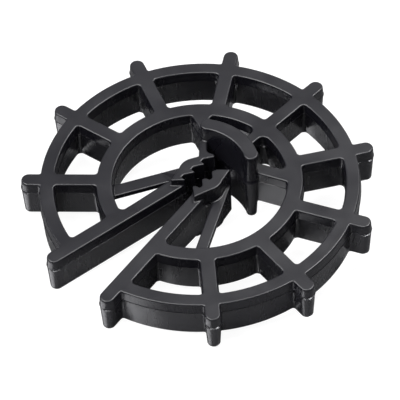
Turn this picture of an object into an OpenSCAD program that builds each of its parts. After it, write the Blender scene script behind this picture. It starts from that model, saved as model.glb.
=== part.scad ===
// Wheel-type rebar chair: a one-piece moulded spacer wheel that snaps over a bar at its
// hub and stands off the formwork on the pegs round its rim.
// The wheel's axis is Z, the mouth opens towards -Y, and Z = 0 is the middle of the rings.

/* [Wheel] */
// Diameter over the peg tips
tip_d = 82; // [76:1:100]
// Outside radius of the outer ring
rim_r = 36.7; // [34:0.1:38]
// Radial width of the outer ring
rim_w = 3.2; // [2.4:0.1:5]
// Outside radius of the inner ring
hub_ring_r = 23.7; // [23:0.1:26]
// Radial width of the inner ring
hub_ring_w = 3.6; // [2.6:0.1:4]
// Height of the rings, spokes and arms
wheel_h = 10; // [8:0.5:14]
// Depth of the mould's parting line below the top face
part_depth = 2.5; // [1.5:0.1:4]
// Number of spokes with a peg, the two arms not counted
spoke_count = 9; // [7:1:9]
// Angle from one spoke to the next
spoke_pitch = 33; // [30:0.5:33]
// Width of a spoke and of a peg
spoke_w = 3.4; // [2.4:0.1:4.4]
// Radius in the corners of the windows
corner_r = 1.05; // [0.6:0.05:1.6]
// Radius where a peg leaves the rim
root_r = 0.6; // [0.3:0.05:1]

/* [Draft] */
// How far a wall swells from its top edge down to the parting line
flare = 0.2; // [0.05:0.05:0.3]
// How far a wall draws in from the parting line down to its bottom edge
taper = 0.42; // [0.1:0.02:0.5]

/* [Mouth] */
// Angle of each side of the mouth from its centre line
mouth_angle = 8.55; // [6:0.05:10]
// Distance of each mouth side's line from the wheel's centre
mouth_gap = 0.9; // [0.6:0.05:1.6]
// Width of an arm between the two rings
arm_w = 3.7; // [3.4:0.1:4.6]
// Width of an arm inside the inner ring
arm_hub_w = 3.1; // [2.6:0.1:3.6]
// Distance from the wheel's centre to where an arm starts, inside its jaw
arm_start = 3.5; // [3:0.1:4.5]
// Radius in the corner between an arm and the inner ring's inside
arm_corner_r = 1.3; // [0.8:0.1:1.6]

/* [Jaws] */
// Height of the jaws above the rings
jaw_rise = 1.8; // [0.5:0.1:4]
// Depth of the jaws below the rings
jaw_drop = 2.5; // [0.5:0.1:4]
// Distance from one tooth to the next
tooth_pitch = 3.25; // [3:0.05:3.5]
// Depth of a tooth
tooth_depth = 1.5; // [0.8:0.1:1.8]
// Distance from the slot's centre line to the tooth tips
tip_gap = 1.2; // [0.8:0.05:1.6]
// How far the right jaw's teeth lie behind the left jaw's
tooth_stagger = 0.5; // [0:0.1:0.8]
// Distance of the first tooth's tip in front of the wheel's centre
first_tooth = 3.3; // [2.8:0.1:3.6]
// Length of the flat crest on a tooth of the right jaw
crest = 1; // [0.6:0.1:1.2]
// Length of the flat at the root between two teeth
root_flat = 0.8; // [0.4:0.1:1]
// Distance from the centre line to the fullest point of a jaw's outer side
jaw_half = 5.55; // [5.2:0.05:6]
// Radius of a jaw's bulging outer side
bulge_r = 4; // [3.6:0.1:6]
// Reach of a jaw in front of the wheel's centre
jaw_front = 5.65; // [5.2:0.05:6]
// Reach of a jaw behind the wheel's centre
jaw_back = 6.1; // [5.7:0.05:6.4]
// Distance from the centre line to a jaw's outer front corner
jaw_front_half = 3.75; // [3.4:0.05:4.2]
// Distance from the centre line to a jaw's outer back corner
jaw_back_half = 4.1; // [3.8:0.05:4.4]

/* [Springs] */
// Width of the right-hand spring strip
right_strut_w = 2.8; // [2:0.1:3.2]
// Width of the left-hand spring strip
left_strut_w = 3.4; // [2.4:0.1:3.6]
// Thickness of a spring strip
strut_t = 1.4; // [1:0.1:2.4]
// Slope of a spring strip against the X axis
strut_angle = 61.9; // [58:0.1:64]
// Distance from the wheel's centre to the line of a strip's front edge
strut_front = 3.9; // [3.6:0.05:4.2]

/* [Hook] */
// Height of the curved wall above the rings
hook_rise = 5.9; // [3:0.1:9]
// Depth of the curved wall below the rings
hook_drop = 4.4; // [2:0.1:6]
// Distance from the wheel's centre to the curved wall
hook_reach = 9.7; // [9.5:0.05:10]
// Radius of the curved wall's inner side
hook_r = 13.95; // [13:0.05:15]
// Thickness of the curved wall in its middle
hook_t = 3.85; // [3.6:0.05:4.2]
// Radius of the curved wall's rounded ends
hook_end_r = 1.69; // [1.4:0.01:1.75]
// Distance of each rounded end from the centre line
hook_half = 6.8; // [6:0.1:7.4]
// Width of the webs that carry the curved wall
web_w = 3.1; // [2.2:0.1:3.6]
// Width of the middle web
mid_web_w = 2.5; // [1.8:0.1:3.4]
// Slope of the side webs
web_angle = 22.5; // [18:0.5:26]
// Radius in the corners between a side web and the inner ring
web_corner_r = 1.2; // [0.8:0.1:1.4]
// Radius in the corners between the middle web and the inner ring
mid_web_corner_r = 1.7; // [1:0.1:2]
// Width of the link between the left jaw and the curved wall
link_w = 1.8; // [1.4:0.1:2.2]

/* [Hidden] */
$fn = 96;

// Heights
top_z = wheel_h / 2;
bottom_z = -wheel_h / 2;
part_z = top_z - part_depth;
jaw_top = top_z + jaw_rise;
jaw_bottom = bottom_z - jaw_drop;
hook_top = top_z + hook_rise;
hook_bottom = bottom_z - hook_drop;

// Radii of the wheel
rim_inner_r = rim_r - rim_w;
bore_r = hub_ring_r - hub_ring_w;
peg_end_r = tip_d / 2 - spoke_w / 2;
first_spoke = 90 - spoke_pitch * (spoke_count - 1) / 2;

// Small lean and rounding of the teeth and the jaws' ends
lean = 0.1;
// The bulge of a jaw's outer side: half its arc, and where its middle lies
bulge_angle = 30;
bulge_y = 0.4;

// A cut runs this far past the face it leaves by
past = 1;
// The rings' parting line lies this far below the spokes', so that the two lines cross
part_shift = 0.05;
// A rib runs this far into the wall that carries it
bite = 0.8;
// A rounding runs this far into the wall that it meets, so that the two always cross
blend = 0.08;

// Centre of the curved wall's inner side, and of its right-hand rounded end
hook_inner_y = hook_reach - hook_r;
hook_mid_r = hook_r + hook_end_r - blend;
hook_end = [hook_half, hook_inner_y + sqrt(hook_mid_r * hook_mid_r - hook_half * hook_half)];

// Slopes of a wall above and below the parting line
flare_slope = flare / part_depth;
taper_slope = taper / (wheel_h - part_depth);

// Wall section from above its top edge down: [distance outside the top edge, height].
// It runs past both ends, which a slab then cuts off level.
function wall(top, bottom) = [
    [-flare_slope * (top - top_z + past), top + past],
    [flare, part_z],
    [flare - taper_slope * (part_z - bottom + past), bottom - past]
];

// Slab between two heights that trims a group of moulded walls
module trim(top = top_z, bottom = bottom_z) {
    intersection() {
        union() children();
        translate([-tip_d, -tip_d, bottom]) cube([2 * tip_d, 2 * tip_d, top - bottom]);
    }
}

// Outline of half a rib or column, from the axis out to the wall at the distance half
function half_section(half, top, bottom) = concat(
    [[0, bottom - past], [0, top + past]], [for (p = wall(top, bottom)) [half + p[0], p[1]]]
);

// Outline of half a hole with the same wall
function half_opening(half, top, bottom) = concat(
    [[0, bottom - 2 * past], [0, top + 2 * past], [half + 2 * flare_slope * past, top + 2 * past]],
    [for (p = wall(top, bottom)) [half - p[0], p[1]]],
    [[half + taper, bottom - 2 * past]]
);

// Solid of revolution with the moulded wall
module column(r, top = top_z, bottom = bottom_z) {
    rotate_extrude() polygon(half_section(r, top, bottom));
}

// Round hole with the moulded wall
module well(r, top = top_z, bottom = bottom_z) {
    rotate_extrude() polygon(half_opening(r, top, bottom));
}

// Straight rib along +X, centred on the X axis
module rib(w, from, to, top = top_z, bottom = bottom_z) {
    section = half_section(w / 2, top, bottom);
    wall_points = [for (i = [2:len(section) - 1]) section[i]];
    mirrored = [for (i = [len(wall_points) - 1:-1:0]) [-wall_points[i][0], wall_points[i][1]]];
    translate([from, 0, 0])
        rotate([90, 0, 90])
            linear_extrude(to - from) polygon(concat(wall_points, mirrored));
}

// Fillet between a straight wall along X at y = edge and a round wall of radius wall_r.
// side is -1 where the fillet lies inside the round wall, 1 where it lies outside.
module fillet(edge, wall_r, side, r = corner_r, top = top_z, bottom = bottom_z) {
    centre_r = wall_r + side * r;
    cy = edge + r;
    cx = sqrt(centre_r * centre_r - cy * cy);
    root_y = edge - bite;
    root_r = wall_r - side * bite;
    root_x = sqrt(root_r * root_r - root_y * root_y);
    centre = [cx, cy];
    difference() {
        translate([0, 0, bottom - past])
            linear_extrude(top - bottom + 2 * past)
                polygon([centre, [cx, root_y], [root_x, root_y], centre * root_r / centre_r]);
        translate([cx, cy, 0]) rotate([0, 0, 90]) well(r + blend, top, bottom);
    }
}

// Both fillets of a rib of half width edge at one round wall
module fillet_pair(edge, wall_r, side, r = corner_r) {
    fillet(edge, wall_r, side, r);
    mirror([0, 1, 0]) fillet(edge, wall_r, side, r);
}

// Ring with moulded walls inside and outside, turned so that it begins in the mouth
module ring(r_out, r_in) {
    translate([0, 0, -part_shift]) rotate([0, 0, -90])
        difference() {
            column(r_out);
            well(r_in);
        }
}

// One spoke with its peg and the fillets in the window corners
module spoke() {
    rib(spoke_w, bore_r + bite, peg_end_r);
    translate([peg_end_r, 0, 0]) column(spoke_w / 2);
    fillet_pair(spoke_w / 2, hub_ring_r, 1);
    fillet_pair(spoke_w / 2, rim_inner_r, -1);
    fillet_pair(spoke_w / 2, rim_r, 1, root_r);
}

// Wedge that the mouth takes out of the rings, up to the middle of each arm
module mouth_cut() {
    reach = tip_d;
    middle = mouth_gap + arm_hub_w / 2;
    side = [reach * sin(mouth_angle), -reach * cos(mouth_angle)];
    across = [cos(mouth_angle), sin(mouth_angle)] * middle;
    right = [across, across + side];
    left = [for (i = [1:-1:0]) [-right[i][0], right[i][1]]];
    translate([0, 0, bottom_z - 3 * past])
        linear_extrude(wheel_h + 6 * past) polygon(concat(right, left));
}

// Right-hand arm: it runs along the mouth from its peg to the jaw
module arm() {
    peg_y = mouth_gap + spoke_w / 2;
    tip_x = sqrt(peg_end_r * peg_end_r - peg_y * peg_y);
    rotate([0, 0, mouth_angle - 90]) {
        translate([0, mouth_gap + arm_hub_w / 2, 0]) rib(arm_hub_w, arm_start, hub_ring_r - bite);
        translate([0, mouth_gap + arm_w / 2, 0]) rib(arm_w, bore_r + bite, rim_r - bite);
        translate([0, peg_y, 0]) rib(spoke_w, rim_inner_r + bite, tip_x);
        translate([tip_x, peg_y, 0]) column(spoke_w / 2);
        fillet(mouth_gap + arm_hub_w, bore_r, -1, arm_corner_r);
        fillet(mouth_gap + arm_w, hub_ring_r, 1);
        fillet(mouth_gap + arm_w, rim_inner_r, -1);
        fillet(mouth_gap + spoke_w, rim_r, 1, root_r);
    }
}
// Teeth of a jaw, for the right-hand side: back of each tooth, root, and ramp to the next tip.
// start is where the first tip lies, land is the length of a tooth's crest.
function teeth(start, land, count) = [
    for (i = [0:count - 1])
        let (y = start + i * tooth_pitch)
            each [
                [tip_gap + land / 2, y],
                [tip_gap + tooth_depth - lean, y + lean],
                [tip_gap + tooth_depth, y + lean + root_flat],
                [tip_gap, y + tooth_pitch - land]
            ]
];

// Outer side of a jaw, from its back corner round its bulge to its front corner
jaw_side = concat(
    [[jaw_back_half, jaw_back]],
    [for (a = [bulge_angle:-bulge_angle / 3:-bulge_angle])
        [jaw_half - bulge_r + bulge_r * cos(a), bulge_y + bulge_r * sin(a)]],
    [[jaw_front_half, -jaw_front]]
);

module jaw_block(outline) {
    translate([0, 0, jaw_bottom]) linear_extrude(jaw_top - jaw_bottom) polygon(outline);
}

// Right-hand jaw with three teeth and a slanting back end
module right_jaw() {
    start = tooth_stagger - first_tooth;
    nose = [tip_gap - lean, -first_tooth - 2 * lean];
    heel = [tip_gap + crest / 2, start + 2 * tooth_pitch + 3 * lean];
    jaw_block(concat([nose], teeth(start, crest, 2), [heel], jaw_side));
}

// Left-hand jaw with four teeth, joined at its back to the curved wall by a slanting link
module left_jaw() {
    last_tip = 3 * tooth_pitch - first_tooth;
    heel = [[tip_gap + 2 * lean, last_tip], [tip_gap + 7 * lean, last_tip + 4 * lean]];
    link_root = [jaw_back_half - lean, jaw_back + 5 * lean];
    link_dir = (hook_end - link_root) / norm(hook_end - link_root);
    link_side = [link_dir[1], -link_dir[0]] * link_w;
    link = [
        link_root - [7 * lean, 2 * lean], link_root, hook_end,
        hook_end - link_dir * hook_end_r + link_side, link_root - link_dir * link_w + link_side
    ];
    mirror([1, 0, 0])
        jaw_block(concat(
            [[tip_gap, -first_tooth - lean]], teeth(-first_tooth, 2 * lean, 3), heel, link,
            [for (i = [1:len(jaw_side) - 1]) jaw_side[i]]
        ));
}

// Right-hand spring strip of a width, from inside its jaw to inside the inner ring
module strut(w) {
    dir = [cos(strut_angle), -sin(strut_angle)];
    normal = [sin(strut_angle), cos(strut_angle)];
    end = sqrt((bore_r + bite) * (bore_r + bite) - strut_front * strut_front);
    front = strut_front * normal;
    back = front + w * normal;
    translate([0, 0, part_z - strut_t])
        linear_extrude(strut_t)
            polygon([
                front + tip_gap * 2 * dir, [jaw_back_half, jaw_back] - [lean, 2 * lean],
                back - tooth_depth * dir, back + end * dir, front + end * dir
            ]);
}

// Curved wall that closes the bar's seat
module hook() {
    end_dir = (hook_end - [0, hook_inner_y]) / norm(hook_end - [0, hook_inner_y]);
    end_out = hook_end + end_dir * (hook_end_r - blend);
    back_y = hook_reach + hook_t;
    outer_y = (end_out * end_out - back_y * back_y) / (2 * (end_out[1] - back_y));
    translate([0, 0, -2 * part_shift]) {
        intersection() {
            difference() {
                translate([0, outer_y, 0]) column(back_y - outer_y, hook_top, hook_bottom);
                translate([0, hook_inner_y, 0]) well(hook_r, hook_top, hook_bottom);
            }
            translate([0, hook_inner_y, hook_bottom - 2 * past])
                linear_extrude(hook_top - hook_bottom + 4 * past)
                    polygon([[0, 0], end_dir * 2 * hook_r, [0, 3 * hook_r],
                             [-end_dir[0], end_dir[1]] * 2 * hook_r]);
        }
        for (side = [-1, 1])
            translate([side * hook_end[0], hook_end[1], 0])
                column(hook_end_r, hook_top, hook_bottom);
    }
}

// Right-hand web from the curved wall's end to the inner ring
module side_web() {
    dir = [cos(web_angle), sin(web_angle)];
    front = hook_end * [-dir[1], dir[0]];
    rotate([0, 0, web_angle]) {
        translate([0, front + web_w / 2, 0])
            rib(web_w, hook_end * dir - past, sqrt(bore_r * bore_r - front * front) + bite);
        fillet(front + web_w, bore_r, -1, web_corner_r);
        mirror([0, 1, 0]) fillet(-front, bore_r, -1, web_corner_r);
    }
}

// Rings, spokes, arms and webs, all of one height
module wheel() {
    difference() {
        ring(rim_r, rim_inner_r);
        mouth_cut();
    }
    difference() {
        ring(hub_ring_r, bore_r);
        mouth_cut();
    }
    for (i = [0:spoke_count - 1])
        rotate([0, 0, first_spoke + i * spoke_pitch]) spoke();
    arm();
    mirror([1, 0, 0]) arm();
    side_web();
    mirror([1, 0, 0]) side_web();
    rotate([0, 0, 90]) {
        rib(mid_web_w, hook_reach + 1, bore_r + bite);
        fillet_pair(mid_web_w / 2, bore_r, -1, mid_web_corner_r);
    }
}

module spacer_wheel() {
    color("#2f3033") {
        trim() wheel();
        trim(hook_top, hook_bottom) hook();
        right_jaw();
        left_jaw();
        strut(right_strut_w);
        mirror([1, 0, 0]) strut(left_strut_w);
    }
}

spacer_wheel();
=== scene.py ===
# %% [markdown]
# # A moulded spacer wheel, finished in Blender
# A rebar chair of the wheel type is one piece of dark plastic. Two steel mould halves close
# on each other, the plastic is shot in, and the piece drops out with its walls slightly
# tapered, its edges slightly rounded and a fine raised line where the halves met.
# The CAD model already has the shape, the teeth and the tapers. What is added here is what
# the mould and the light leave on it: rounded edges, the raised line, and the skin.

import math

import bmesh
import bpy
from mathutils import Matrix, Vector
from mathutils.bvhtree import BVHTree


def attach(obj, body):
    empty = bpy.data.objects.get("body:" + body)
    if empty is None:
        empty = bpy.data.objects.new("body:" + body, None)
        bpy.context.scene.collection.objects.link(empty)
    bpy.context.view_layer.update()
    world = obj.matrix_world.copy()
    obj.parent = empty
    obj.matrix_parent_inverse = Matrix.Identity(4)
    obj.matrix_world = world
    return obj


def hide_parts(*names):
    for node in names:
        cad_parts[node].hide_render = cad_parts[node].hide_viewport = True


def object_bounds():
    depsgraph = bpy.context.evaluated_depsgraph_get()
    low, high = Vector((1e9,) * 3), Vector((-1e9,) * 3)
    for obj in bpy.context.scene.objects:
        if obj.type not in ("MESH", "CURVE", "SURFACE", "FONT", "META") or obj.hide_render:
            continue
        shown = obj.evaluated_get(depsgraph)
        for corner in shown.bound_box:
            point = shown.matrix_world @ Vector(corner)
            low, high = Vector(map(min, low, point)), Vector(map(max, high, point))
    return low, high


MM = 0.001

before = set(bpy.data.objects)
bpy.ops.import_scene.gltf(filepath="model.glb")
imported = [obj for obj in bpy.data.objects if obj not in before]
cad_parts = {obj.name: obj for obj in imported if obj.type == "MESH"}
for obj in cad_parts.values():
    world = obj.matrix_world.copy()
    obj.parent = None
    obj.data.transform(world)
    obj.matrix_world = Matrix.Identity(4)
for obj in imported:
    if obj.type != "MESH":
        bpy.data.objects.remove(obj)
cad_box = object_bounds()
cad_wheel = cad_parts["spacer_wheel"]
print("CAD box:", cad_box, "triangles:", len(cad_wheel.data.polygons))

# %% [markdown]
# ## Measure before modelling
# Every place is read off the CAD mesh, so a later change of size carries over. The rings,
# spokes and arms share one level top and one level underside, and these two are by far the
# largest flat areas, so the area of the level faces at each height finds them. The mould's
# parting line runs a quarter of the way down from the top.

# %% Find the level faces of the rings
LEVEL = 0.999  # the least upward part of a level face's normal
PART_SHARE = 0.25


def level_areas(mesh, up):
    """Total area of the level faces at each height, for faces that look up or down."""
    areas = {}
    for face in mesh.polygons:
        if face.normal.z * up > LEVEL:
            height = round(face.center.z / MM, 2)
            areas[height] = areas.get(height, 0.0) + face.area
    return areas


tops = level_areas(cad_wheel.data, 1)
undersides = level_areas(cad_wheel.data, -1)
ring_top = max(tops, key=tops.get) * MM
ring_bottom = max(undersides, key=undersides.get) * MM
part_height = ring_top - (ring_top - ring_bottom) * PART_SHARE
lowest = cad_box[0][2]
print(f"rings from {ring_bottom / MM:.2f} to {ring_top / MM:.2f} mm")
print(f"mould line at {part_height / MM:.2f} mm, lowest point at {lowest / MM:.2f} mm")

# %% [markdown]
# ## One skin out of loose triangles
# A CAD export is a heap of triangles that don't share corners. A copy is merged into one
# skin, and triangles that lie in one plane are dissolved into whole faces, so that the
# bevel that comes next runs along real edges and not along the seams of a triangulation.
# The jaws' teeth end in crests far narrower than the bevel. There the corners on either
# side of a crest are merged into one, because a bevel wider than its face throws spikes.

# %% Find the teeth's corners
TOOTH_CLEAR = 1.2 * MM  # the jaws' ends lie at least this far beyond the rings
SEAT_HALF = 3.2 * MM  # the teeth lie within this distance of the slot's middle
SEAT_FRONT = -4 * MM
SEAT_BACK = 7 * MM


def is_tooth_corner(place):
    """Whether a corner is in the bar's seat and at one of the jaws' level ends."""
    above = place.z > ring_top + TOOTH_CLEAR
    below = place.z < ring_bottom - TOOTH_CLEAR
    in_seat = abs(place.x) < SEAT_HALF and SEAT_FRONT < place.y < SEAT_BACK
    return (above or below) and in_seat


print("corners at the teeth:", sum(is_tooth_corner(v.co) for v in cad_wheel.data.vertices))

# %% Merge a copy of the wheel
WELD = 0.012 * MM
ONE_PLANE = math.radians(0.4)
CREST = 0.26 * MM


def opened(mesh):
    """A bmesh that holds a copy of the mesh."""
    bm = bmesh.new()
    bm.from_mesh(mesh)
    return bm


def put_back(bm, mesh):
    """Write the bmesh into the mesh and free it."""
    bm.to_mesh(mesh)
    bm.free()


def new_object(name, data):
    """A new object in the scene that shows the data."""
    made = bpy.data.objects.new(name, data)
    bpy.context.scene.collection.objects.link(made)
    return made


def count_open(bm):
    """How many edges don't have exactly two faces."""
    return sum(1 for edge in bm.edges if not edge.is_manifold)


def merged_copy(source, name):
    """A new object with the source's triangles merged into one closed skin."""
    mesh = bpy.data.meshes.new(name)
    bm = opened(source.data)
    bmesh.ops.remove_doubles(bm, verts=bm.verts, dist=WELD)
    bmesh.ops.dissolve_degenerate(bm, edges=bm.edges, dist=WELD)
    bmesh.ops.dissolve_limit(
        bm, angle_limit=ONE_PLANE, use_dissolve_boundaries=False,
        verts=bm.verts, edges=bm.edges, delimit=set(),
    )
    jaw_ends = [v for v in bm.verts if is_tooth_corner(v.co)]
    bmesh.ops.remove_doubles(bm, verts=jaw_ends, dist=CREST)
    print(f"{name}: {len(bm.verts)} corners, {len(bm.faces)} faces")
    print(f"{count_open(bm)} open edges")
    put_back(bm, mesh)
    return new_object(name, mesh)


wheel = merged_copy(cad_wheel, "moulded_wheel")

# %% [markdown]
# ## The head of the curved wall
# On the real wheel the wall that closes the bar's seat stands nearly upright above the
# parting line, as thick at its head as lower down, with fully round ends. The CAD wall is
# drawn in a little more there. Its corners are moved level, by a share that grows with the
# height, so that the wall below the parting line and all heights stay as they are.

# %% Fill out the curved wall's head
HEAD_PUSH = 0.3 * MM
END_PUSH = 0.33 * MM
BACK_SHIFT = 0.28 * MM
SIDE_SHIFT = -0.17 * MM
END_POWER = 3  # how closely the extra push keeps to the wall's ends
HEAD_SLACK = 0.05 * MM
UPRIGHT = 0.2  # the largest upward part of an upright wall's normal


def fill_out_head(piece):
    """Push the curved wall outwards above the parting line, most at its top and its ends."""
    bm = opened(piece.data)
    bm.normal_update()
    top = max(v.co.z for v in bm.verts)
    walls = {
        f for f in bm.faces
        if abs(f.normal.z) < UPRIGHT and any(v.co.z > top - HEAD_SLACK for v in f.verts)
    }
    corners = {v for f in walls for v in f.verts if v.co.z > part_height}
    half_width = max(abs(v.co.x) for v in corners)
    shifts = {}
    for v in corners:
        share = (v.co.z - part_height) / (top - part_height)
        outward = sum((f.normal for f in v.link_faces if f in walls), Vector())
        outward.z = 0
        near_end = min(abs(v.co.x) / half_width, 1) ** END_POWER
        push = outward.normalized() * (HEAD_PUSH + END_PUSH * near_end)
        shift = Vector((SIDE_SHIFT * near_end * v.co.x / half_width, BACK_SHIFT, 0))
        shifts[v] = (push + shift) * share
    for v, shift in shifts.items():
        v.co += shift
    furthest = max(shift.length for shift in shifts.values()) / MM
    print(f"head of the curved wall: {len(shifts)} corners moved, up to {furthest:.2f} mm")
    put_back(bm, piece.data)


fill_out_head(wheel)

# %% [markdown]
# ## Rounded edges
# No moulded edge is sharp: the cutter that made the mould leaves a small radius, and the
# plastic doesn't fill a sharp corner. On black plastic the light shows mostly on these
# edges, as thin bright lines, so they are real geometry and not only a trick of shading.
# A bevel only ever cuts material off or fills a corner in, so its new corners lie close to
# the old skin. The few that it throws further out, where edges meet at a narrow angle, are
# found with a search tree of the old skin and put back on it.

# %% Round every sharp edge
EDGE_RADIUS = 0.34 * MM
EDGE_STEPS = 3
SHARP = math.radians(28)
STRAY = 0.6  # of the radius
TIDY_WELD = 0.004 * MM


def settle_strays(bm, skin, reach):
    """Put corners that lie further than the reach from the old skin back on it."""
    strays = 0
    for v in bm.verts:
        nearest, _, _, distance = skin.find_nearest(v.co)
        if distance > reach:
            v.co = nearest
            strays += 1
    return strays


def round_edges(piece, radius, steps):
    """Bevel every edge of the piece that is sharper than SHARP."""
    bm = opened(piece.data)
    skin = BVHTree.FromBMesh(bm)
    sharp = [e for e in bm.edges if e.is_manifold and e.calc_face_angle(0.0) > SHARP]
    bmesh.ops.bevel(
        bm, geom=sharp, affect="EDGES", offset=radius, offset_type="OFFSET",
        segments=steps, profile=0.5, material=-1, clamp_overlap=False,
        miter_outer="SHARP", miter_inner="SHARP",
    )
    strays = settle_strays(bm, skin, STRAY * radius)
    bmesh.ops.remove_doubles(bm, verts=bm.verts, dist=TIDY_WELD)
    print(f"rounded {len(sharp)} edges: {len(bm.faces)} faces")
    print(f"{strays} strays put back, {count_open(bm)} open edges")
    put_back(bm, piece.data)


round_edges(wheel, EDGE_RADIUS, EDGE_STEPS)

# %% [markdown]
# ## The mould line
# Where the two mould halves meet, a hair of plastic creeps into the gap and leaves a fine
# raised bead round every wall. Four level cuts mark it out, and the inner two are pushed
# outwards along the wall by the bead's rise, steeply at the top so that a thin ledge
# catches the light from above. Cutting the finished skin keeps the bead exactly level.
# Where a wall already touches the CAD box it is pressed flat, so that the wheel doesn't grow.

# %% Raise the mould line
BEAD = {0.022: 0.0, -0.022: 0.085, -0.075: 0.085, -0.14: 0.0}  # mm up: mm outwards
NEAR = 0.004 * MM
WALL_SLOPE = 0.4  # the largest upward part of a wall's normal


def inside_box(place):
    """The place, moved onto the CAD box where it lies outside."""
    low, high = cad_box
    return Vector(min(max(c, low[i]), high[i]) for i, c in enumerate(place))


def raise_mould_line(piece, height):
    """Cut the walls level round the height and push the cuts outwards by the bead's rise."""
    bm = opened(piece.data)
    for step in BEAD:
        bmesh.ops.bisect_plane(
            bm, geom=bm.verts[:] + bm.edges[:] + bm.faces[:], dist=NEAR / 2,
            plane_co=(0, 0, height + step * MM), plane_no=(0, 0, 1),
        )
    bm.normal_update()
    raised = []
    for v in bm.verts:
        on_wall = all(abs(f.normal.z) < WALL_SLOPE for f in v.link_faces)
        for step, rise in BEAD.items():
            if on_wall and rise and abs(v.co.z - height - step * MM) < NEAR:
                outward = Vector((v.normal.x, v.normal.y, 0)).normalized()
                raised.append((v, outward * rise * MM))
    for v, shift in raised:
        v.co = inside_box(v.co + shift)
    print(f"mould line: {len(raised)} corners raised")
    put_back(bm, piece.data)


raise_mould_line(wheel, part_height)

# %% [markdown]
# ## Shading that keeps flat faces flat
# Smooth shading bends the light on a large face towards its bevels. A Weighted Normal
# modifier lets the large faces win, so that only the roundings turn the light. Edges
# sharper than the steps of a rounding stay sharp, and so does the ledge of the mould line.

# %% Smooth the wheel
KEEP_SHARP = math.radians(38)
LARGE_FACE_WEIGHT = 60


def shade(piece):
    """Smooth shading with normals led by the large faces."""
    for face in piece.data.polygons:
        face.use_smooth = True
    piece.data.set_sharp_from_angle(angle=KEEP_SHARP)
    weighted = piece.modifiers.new("large faces lead", "WEIGHTED_NORMAL")
    weighted.mode = "FACE_AREA"
    weighted.weight = LARGE_FACE_WEIGHT
    weighted.keep_sharp = True


shade(wheel)
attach(wheel, "root")
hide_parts("spacer_wheel")
print("faces:", len(wheel.data.polygons))

# %% [markdown]
# ## The skin of the plastic
# The mould's steel is milled and lightly blasted. Its fine grain prints into the plastic,
# the walls keep faint scratches along the way the piece was drawn out, and the gloss
# changes a little where the plastic cooled faster. Each is a mask or a height that changes
# over the surface, made in a node group and used by the one material.

# %% A helper for node groups
GRID = 220  # the distance between nodes in the editor


def new_group(name, inputs, outputs):
    """A shader node group with named sockets, its input node and its output node."""
    group = bpy.data.node_groups.new(name, "ShaderNodeTree")
    for label, kind, value in inputs:
        socket = group.interface.new_socket(label, in_out="INPUT", socket_type=kind)
        if value is not None:
            socket.default_value = value
    for label, kind in outputs:
        group.interface.new_socket(label, in_out="OUTPUT", socket_type=kind)
    start = group.nodes.new("NodeGroupInput")
    end = group.nodes.new("NodeGroupOutput")
    start.location = (-4 * GRID, 0)
    end.location = (4 * GRID, 0)
    return group, start, end


def add(tree, kind, x, y, **settings):
    """A node at a grid place, with its settings."""
    node = tree.nodes.new(kind)
    node.location = (x * GRID, y * GRID)
    for key, value in settings.items():
        setattr(node, key, value)
    return node


def maths(tree, operation, x, y, first, second):
    """A Math node fed with sockets or numbers."""
    node = add(tree, "ShaderNodeMath", x, y, operation=operation)
    for place, value in enumerate((first, second)):
        if isinstance(value, (int, float)):
            node.inputs[place].default_value = value
        else:
            tree.links.new(value, node.inputs[place])
    return node.outputs[0]


print("helpers ready")

# %% [markdown]
# ### Mould grain, draw marks and blotches
# All three come from noise in Object coordinates, so they stay put on the piece. The grain
# has one size in all directions. The draw marks use coordinates squeezed along the height,
# so each blot of noise becomes an upright streak, and a mask keeps them to the walls. The
# blotches are a coarse noise that tells where the plastic is glossier.

# %% Build the mould skin group
GRAIN_SCALE = 3200.0
GRAIN_DETAIL = 3
GRAIN_SHARE = 0.5
STREAK_SCALE = 900
STREAK_DETAIL = 2
STREAK_SQUEEZE = 0.03
STREAK_SHARE = 0.35
BLOTCH_SCALE = 110
BLOTCH_DETAIL = 3


def noise(tree, y, coordinates, detail):
    """A Noise Texture node on the coordinates. Its scale is set by the caller."""
    node = add(tree, "ShaderNodeTexNoise", -2, y)
    node.inputs["Detail"].default_value = detail
    tree.links.new(coordinates, node.inputs["Vector"])
    return node


def build_mould_skin():
    """Group that gives a height for bump and two masks for gloss."""
    group, start, end = new_group(
        "mould skin",
        [("Coordinates", "NodeSocketVector", None),
         ("Wall", "NodeSocketFloat", 0.0),
         ("Grain size", "NodeSocketFloat", GRAIN_SCALE)],
        [("Height", "NodeSocketFloat"),
         ("Streaks", "NodeSocketFloat"),
         ("Blotches", "NodeSocketFloat")],
    )
    place = start.outputs["Coordinates"]
    grain = noise(group, 2, place, GRAIN_DETAIL)
    group.links.new(start.outputs["Grain size"], grain.inputs["Scale"])

    upright = add(group, "ShaderNodeMapping", -3, 0)
    upright.inputs["Scale"].default_value = (1, 1, STREAK_SQUEEZE)
    group.links.new(place, upright.inputs["Vector"])
    streaks = noise(group, 0, upright.outputs["Vector"], STREAK_DETAIL)
    streaks.inputs["Scale"].default_value = STREAK_SCALE

    blotches = noise(group, -2, place, BLOTCH_DETAIL)
    blotches.inputs["Scale"].default_value = BLOTCH_SCALE

    wall_streaks = maths(group, "MULTIPLY", 0, 0, streaks.outputs[0], start.outputs["Wall"])
    streak_height = maths(group, "MULTIPLY", 1, 0, wall_streaks, STREAK_SHARE)
    grain_height = maths(group, "MULTIPLY", 0, 2, grain.outputs[0], GRAIN_SHARE)
    height = maths(group, "ADD", 2, 1, grain_height, streak_height)
    group.links.new(height, end.inputs["Height"])
    group.links.new(wall_streaks, end.inputs["Streaks"])
    group.links.new(blotches.outputs[0], end.inputs["Blotches"])
    return group


mould_skin = build_mould_skin()
print("group:", mould_skin.name)

# %% [markdown]
# ### The material
# Black plastic has a very dark body, and nearly all that is seen of it is the reflection
# of what stands round it. The body stays dark and the finish is a half gloss, so that the
# tops mirror the studio softly and the walls mirror the floor or the wall across from them.

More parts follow.
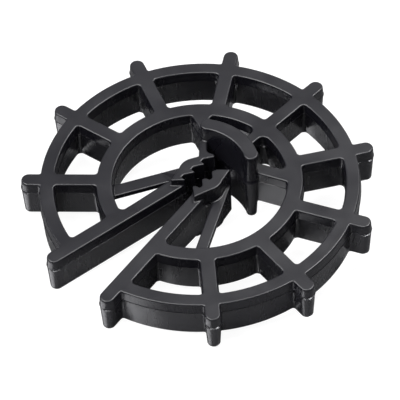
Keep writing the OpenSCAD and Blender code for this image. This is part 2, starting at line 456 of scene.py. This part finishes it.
# %% Charcoal plastic
BODY_DARK = (0.0038, 0.0036, 0.0054, 1)
BODY_PALE = (0.0062, 0.0060, 0.0086, 1)
PLASTIC_IOR = 1.5
BLOTCH_RANGE = (0.3, 0.7)
ROUGHNESS_RANGE = (0.27, 0.37)
STREAK_GLOSS = 0.12
WALL_LIMIT = 0.5  # faces with less than this upward part of the normal are walls
BUMP_STRENGTH = 0.25
BUMP_DEPTH = 0.03 * MM


def wall_mask(tree):
    """1 on the walls and 0 on the level faces."""
    shape = add(tree, "ShaderNodeNewGeometry", -5, 2)
    parts = add(tree, "ShaderNodeSeparateXYZ", -4, 2)
    tree.links.new(shape.outputs["True Normal"], parts.inputs[0])
    level = maths(tree, "ABSOLUTE", -3, 2, parts.outputs["Z"], 0)
    return maths(tree, "LESS_THAN", -2, 2, level, WALL_LIMIT)


def uneven_roughness(tree, skin):
    """Roughness that wanders with the blotches and drops along the draw marks."""
    gloss = add(tree, "ShaderNodeMapRange", -1, -1)
    gloss.inputs["From Min"].default_value = BLOTCH_RANGE[0]
    gloss.inputs["From Max"].default_value = BLOTCH_RANGE[1]
    gloss.inputs["To Min"].default_value = ROUGHNESS_RANGE[0]
    gloss.inputs["To Max"].default_value = ROUGHNESS_RANGE[1]
    tree.links.new(skin.outputs["Blotches"], gloss.inputs["Value"])
    streaked = maths(tree, "MULTIPLY", -1, -2, skin.outputs["Streaks"], STREAK_GLOSS)
    return maths(tree, "SUBTRACT", 0, -1, gloss.outputs["Result"], streaked)


def build_plastic():
    """Half-gloss moulded plastic with grain, draw marks and uneven gloss."""
    material = bpy.data.materials.new("charcoal_plastic")
    material.use_nodes = True
    tree = material.node_tree
    surface = tree.nodes["Principled BSDF"]
    surface.inputs["Metallic"].default_value = 0.0
    surface.inputs["IOR"].default_value = PLASTIC_IOR

    place = add(tree, "ShaderNodeTexCoord", -5, 0)
    skin = add(tree, "ShaderNodeGroup", -3, 0)
    skin.node_tree = mould_skin
    tree.links.new(place.outputs["Object"], skin.inputs["Coordinates"])
    tree.links.new(wall_mask(tree), skin.inputs["Wall"])

    colour = add(tree, "ShaderNodeMix", -1, 1, data_type="RGBA")
    colour.inputs["A"].default_value = BODY_DARK
    colour.inputs["B"].default_value = BODY_PALE
    tree.links.new(skin.outputs["Blotches"], colour.inputs["Factor"])
    tree.links.new(colour.outputs["Result"], surface.inputs["Base Color"])
    tree.links.new(uneven_roughness(tree, skin), surface.inputs["Roughness"])

    bump = add(tree, "ShaderNodeBump", -1, -3)
    bump.inputs["Strength"].default_value = BUMP_STRENGTH
    bump.inputs["Distance"].default_value = BUMP_DEPTH
    tree.links.new(skin.outputs["Height"], bump.inputs["Height"])
    tree.links.new(bump.outputs["Normal"], surface.inputs["Normal"])
    return material


charcoal_plastic = build_plastic()
wheel.data.materials.clear()
wheel.data.materials.append(charcoal_plastic)
print("material:", charcoal_plastic.name)

# %% [markdown]
# ## How it lies on the table
# The curved wall and the jaws reach below the rings, so the wheel doesn't lie level: it
# rocks forward until the two arms by the mouth touch down. The table is laid under those
# contact points, which leaves the wheel as modelled and still standing on something.

# %% Lay the table
TABLE_SIZE = 1.6
FOOT_SLACK = 0.25 * MM
SINK = 0.02 * MM  # how far the foot presses into the table


def contact_slope(mesh):
    """Where the wall's foot touches, and how steeply the table falls from there to the arms."""
    feet = [v.co for v in mesh.vertices if v.co.z < lowest + FOOT_SLACK]
    arms = [v.co for v in mesh.vertices if v.co.z < ring_bottom + FOOT_SLACK]
    back = min(feet, key=lambda p: p.y)
    front = min(arms, key=lambda p: p.y)
    return back.copy(), math.atan2(front.z - back.z, back.y - front.y)


def lay_table(size, foot, slope):
    """A large level sheet turned to the slope of the contact points."""
    mesh = bpy.data.meshes.new("table")
    bm = bmesh.new()
    bmesh.ops.create_grid(bm, x_segments=1, y_segments=1, size=size / 2)
    turn = Matrix.Rotation(-slope, 4, "X")
    drop = Matrix.Translation((0, foot.y, foot.z - SINK))
    bmesh.ops.transform(bm, matrix=drop @ turn, verts=bm.verts)
    put_back(bm, mesh)
    made = new_object("table", mesh)
    return made


foot_place, table_slope = contact_slope(wheel.data)
table = lay_table(TABLE_SIZE, foot_place, table_slope)
print(f"the table tilts {math.degrees(table_slope):.1f} degrees to meet the foot and the arms")

# %% [markdown]
# ### A white table with a faint shadow
# A product table is lit until it is plain white. Here the table is a pale diffuse sheet
# that catches the shadow, mixed with plain white for the camera. In the object's own
# reflections the table is a smooth sheet of grey acrylic: it hands on a weak image of the
# soft boxes on one side and of the dim studio on the other, which shapes the dark walls.

# %% White table
SHEET = (0.86, 0.86, 0.87, 1)
WHITE = (1, 1, 1, 1)
WHITE_LEVEL = 1.12
WHITE_SHARE = 0.84
ACRYLIC = (0.28, 0.28, 0.29, 1)
ACRYLIC_ROUGHNESS = 0.15
ACRYLIC_SHARE = 0.9


def mixed(tree, x, y, share, first, second):
    """The output of a Mix Shader node between two shaders."""
    mix = add(tree, "ShaderNodeMixShader", x, y)
    tree.links.new(share, mix.inputs[0])
    tree.links.new(first, mix.inputs[1])
    tree.links.new(second, mix.inputs[2])
    return mix.outputs[0]


def build_white():
    """Pale sheet that is mostly plain white to the camera and smooth to reflections."""
    material = bpy.data.materials.new("white_table")
    material.use_nodes = True
    tree = material.node_tree
    tree.nodes.clear()
    out = add(tree, "ShaderNodeOutputMaterial", 4, 0)
    sheet = add(tree, "ShaderNodeBsdfDiffuse", 0, 2)
    sheet.inputs["Color"].default_value = SHEET
    white = add(tree, "ShaderNodeEmission", 0, 0)
    white.inputs["Color"].default_value = WHITE
    white.inputs["Strength"].default_value = WHITE_LEVEL
    acrylic = add(tree, "ShaderNodeBsdfGlossy", 0, -2)
    acrylic.inputs["Color"].default_value = ACRYLIC
    acrylic.inputs["Roughness"].default_value = ACRYLIC_ROUGHNESS
    rays = add(tree, "ShaderNodeLightPath", -3, 3)
    seen = maths(tree, "MULTIPLY", -1, 4, rays.outputs["Is Camera Ray"], WHITE_SHARE)
    mirrored = maths(tree, "MULTIPLY", -1, 3, rays.outputs["Is Glossy Ray"], ACRYLIC_SHARE)
    to_camera = mixed(tree, 2, 1, seen, sheet.outputs[0], white.outputs[0])
    to_gloss = mixed(tree, 3, 0, mirrored, to_camera, acrylic.outputs[0])
    tree.links.new(to_gloss, out.inputs["Surface"])
    return material


table.data.materials.append(build_white())
print("table:", table.data.materials[0].name)

# %% [markdown]
# ### The room round the table
# The room is dim and faintly blue where it lights the wheel, so that the soft boxes do the
# drawing, and plain white where the camera looks past the table.

# %% Studio
ROOM_TINT = (0.97, 0.98, 1.0, 1)
ROOM_LEVEL = 0.3
BACKDROP_LEVEL = 1.0


def build_studio():
    """World that lights the object evenly and looks white to the camera."""
    world = bpy.data.worlds.new("studio")
    bpy.context.scene.world = world
    world.use_nodes = True
    tree = world.node_tree
    tree.nodes.clear()
    out = add(tree, "ShaderNodeOutputWorld", 2, 0)
    lit = add(tree, "ShaderNodeBackground", 0, 1)
    lit.inputs["Color"].default_value = ROOM_TINT
    lit.inputs["Strength"].default_value = ROOM_LEVEL
    shown = add(tree, "ShaderNodeBackground", 0, -1)
    shown.inputs["Color"].default_value = WHITE
    shown.inputs["Strength"].default_value = BACKDROP_LEVEL
    rays = add(tree, "ShaderNodeLightPath", -2, 2)
    room = mixed(tree, 1, 0, rays.outputs["Is Camera Ray"], lit.outputs[0], shown.outputs[0])
    tree.links.new(room, out.inputs["Surface"])
    return world


print("world:", build_studio().name)

# %% [markdown]
# ## A long lens
# The camera looks down on the wheel from the side of its mouth. A long lens from two thirds
# of a metre keeps the near and the far pegs nearly the same size. The camera leans a little,
# and a small shift of the lens frames the wheel without turning the camera.

# %% Camera
CAMERA_TURN = math.radians(315.7)
CAMERA_RISE = math.radians(49.005)
CAMERA_ROLL = math.radians(-2.532)
CAMERA_REACH = 0.6866
FOCAL_LENGTH = 270
SENSOR_WIDTH = 36
SHIFT = (0.0006, -0.0502)
CLIP = (0.01, 20)
look_at = Vector((0, 0, ring_top))


def stand(turn, rise, reach):
    """A point at that plan angle, rise and distance from where the camera looks."""
    flat = math.cos(rise)
    way = Vector((flat * math.cos(turn), flat * math.sin(turn), math.sin(rise)))
    return look_at + way * reach


def aimed(place, roll=0.0):
    """A matrix at the place that looks at the wheel, turned about its line of sight."""
    back = (place - look_at).normalized()
    side = Vector((0, 0, 1)).cross(back).normalized()
    up = back.cross(side)
    right = side * math.cos(roll) + up * math.sin(roll)
    top = up * math.cos(roll) - side * math.sin(roll)
    turn = Matrix((right, top, back)).transposed().to_4x4()
    return Matrix.Translation(place) @ turn


lens = bpy.data.cameras.new("long_lens")
lens.lens = FOCAL_LENGTH
lens.sensor_width = SENSOR_WIDTH
lens.shift_x, lens.shift_y = SHIFT
lens.clip_start, lens.clip_end = CLIP
camera = new_object("camera", lens)
camera.matrix_world = aimed(stand(CAMERA_TURN, CAMERA_RISE, CAMERA_REACH), CAMERA_ROLL)
bpy.context.scene.camera = camera
print("camera at", tuple(round(c, 3) for c in camera.location))

# %% [markdown]
# ## Six soft boxes
# On black plastic a lamp shows only where a surface mirrors it, so each box has its own
# task. The large one on the left draws the edges and walls that face left, the two behind on
# the right draw those that face right, the one overhead draws the mould line, and the weak
# ones in front and behind fill the walls and the tops. The large one hangs high, so that the
# level tops don't mirror it to someone who looks from across the table.

# %% Soft boxes
# name: turn and rise in degrees, reach, width and height in metres, watts
SOFT_BOXES = {
    "left_box": (-76, 56, 0.9, (0.85, 0.4), 12.0),
    "right_box": (124, 64, 0.9, (0.2, 0.2), 5.0),
    "far_box": (142, 55, 0.9, (0.26, 0.2), 2.5),
    "top_box": (180, 87, 0.9, (0.3, 0.14), 2.7),
    "front_box": (0, 62, 0.9, (0.5, 0.35), 0.5),
    "back_box": (180, 28, 1.0, (2.0, 0.5), 1.0),
}


def soft_box(name, turn, rise, reach, size, watts):
    """A rectangular area light aimed at the wheel. Its turn is counted from the camera's."""
    light = bpy.data.lights.new(name, "AREA")
    light.shape = "RECTANGLE"
    light.size, light.size_y = size
    light.energy = watts
    made = new_object(name, light)
    plan_angle = CAMERA_TURN + math.radians(turn)
    made.matrix_world = aimed(stand(plan_angle, math.radians(rise), reach))
    return made


for box_name, settings in SOFT_BOXES.items():
    soft_box(box_name, *settings)
print("soft boxes:", ", ".join(SOFT_BOXES))

# %% [markdown]
# ## The view transform
# With the Standard view transform a colour comes out as it is written.

# %% Set the view transform
bpy.context.scene.view_settings.view_transform = "Standard"
bpy.context.view_layer.update()
